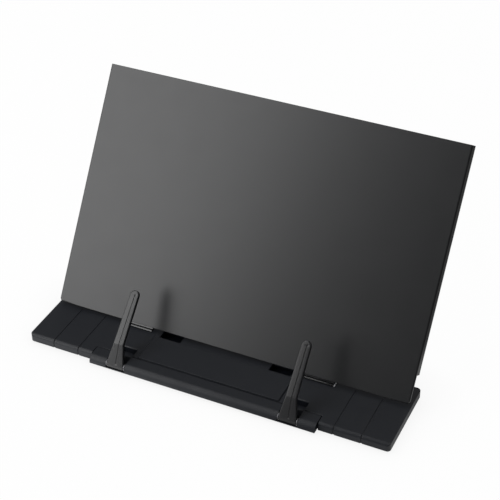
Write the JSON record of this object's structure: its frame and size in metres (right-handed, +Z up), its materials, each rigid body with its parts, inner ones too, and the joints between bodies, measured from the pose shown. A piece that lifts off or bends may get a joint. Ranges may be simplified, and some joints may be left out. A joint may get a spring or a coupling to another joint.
{
  "type": "book stand",
  "caption": "Folding desk book stand with a leaning panel hinged to a low tray, a prop leg behind it, and bent page holders on a pull-out bar at the tray's front edge.",
  "frame": {"origin": "on the table under the middle of the stand, at the bottom centre of its bounding box", "axes": "+X across the stand to its right, +Y to its back, +Z up"},
  "size_m": [0.353, 0.1892, 0.2047],
  "materials": {
    "panel_plastic": "satin",
    "tray_plastic": "satin, finely textured",
    "holder_plastic": "satin",
    "steel": "bright",
    "rubber": "matt"
  },
  "bodies": {
    "tray": {"tray_deck": "tray_plastic", "base_plate": "tray_plastic", "base_screws": "steel", "rubber_feet": "rubber", "centre_plate": "tray_plastic", "left_hinge_pin": "steel", "right_hinge_pin": "steel", "hinge_washers": "steel", "hinge_caps": "tray_plastic", "friction_leaves": "steel"},
    "slide": {"slide_bar": "tray_plastic", "slide_tongue": "tray_plastic", "slide_bar_screws": "steel", "left_holder_pin": "steel", "right_holder_pin": "steel", "left_holder_washers": "steel", "right_holder_washers": "steel"},
    "left_holder": {"left_page_holder": "holder_plastic"},
    "right_holder": {"right_page_holder": "holder_plastic"},
    "panel": {"panel_front": "panel_plastic", "panel_back_cover": "tray_plastic", "cover_screws": "steel", "left_hinge_leaf": "tray_plastic", "right_hinge_leaf": "tray_plastic", "hinge_leaf_screws": "steel", "leg_pin": "steel", "leg_washers": "steel"},
    "leg": {"prop_leg": "tray_plastic", "leg_foot": "rubber"}
  },
  "joints": [
    {"name": "panel_hinge", "type": "hinge", "parent": "tray", "child": "panel", "pos_m": [0, -0.03658, 0.007], "axis": [-1, 0, 0], "range_deg": [-25, 57]},
    {"name": "leg_hinge", "type": "hinge", "parent": "panel", "child": "leg", "pos_m": [0, 0.04824, 0.13578], "axis": [-1, 0, 0], "range_deg": [-15, 46.5]},
    {"name": "bar_slide", "type": "slide", "parent": "tray", "child": "slide", "axis": [0, -1, 0], "range_m": [0, 0.02]},
    {"name": "left_holder_pivot", "type": "hinge", "parent": "slide", "child": "left_holder", "pos_m": [-0.0845, -0.09078, 0.0058], "axis": [-1, 0, 0], "range_deg": [-95, 16]},
    {"name": "right_holder_pivot", "type": "hinge", "parent": "slide", "child": "right_holder", "pos_m": [0.0845, -0.09078, 0.0058], "axis": [-1, 0, 0], "range_deg": [-92, 19]}
  ]
}
